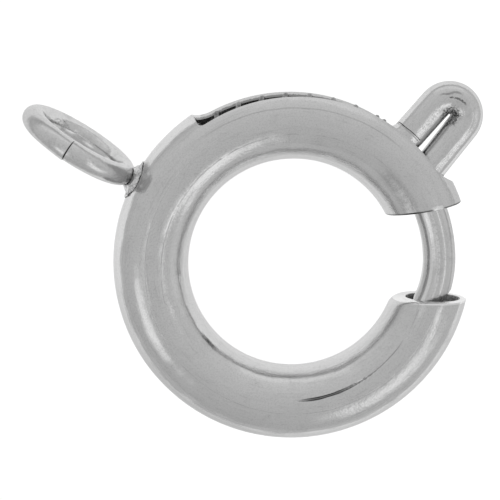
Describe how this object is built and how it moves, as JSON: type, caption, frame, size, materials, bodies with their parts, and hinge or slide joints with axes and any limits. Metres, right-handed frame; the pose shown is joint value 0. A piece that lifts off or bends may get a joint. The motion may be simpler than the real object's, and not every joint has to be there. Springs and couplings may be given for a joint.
{
  "type": "spring ring clasp",
  "caption": "Round hollow clasp for a necklace or bracelet: a sprung curved tongue with a folded thumb lever closes the gap in the tube, and a soldered jump ring links it on.",
  "frame": {"origin": "centre of the ring, on its axis and in its middle plane", "axes": "+Z along the ring's axis, up with the clasp lying down; +X through the open gap that the tongue closes"},
  "size_m": [0.0151, 0.0121, 0.0042],
  "materials": {
    "tube_metal": "polished",
    "tongue_metal": "polished",
    "spring_wire": "satin",
    "jump_ring_metal": "polished",
    "solder": "satin"
  },
  "bodies": {
    "ring_body": {"ring_tube": "tube_metal", "jump_ring": "jump_ring_metal", "solder_joint": "solder", "spring": "spring_wire"},
    "tongue_body": {"tongue": "tongue_metal"}
  },
  "joints": [
    {"name": "tongue_slide", "type": "hinge", "parent": "ring_body", "child": "tongue_body", "pos_m": [0, 0, 0], "axis": [0, 0, 1], "range_deg": [-3, 68], "stiffness_Nm_per_rad": 0.0014, "deforming": ["spring"]}
  ]
}
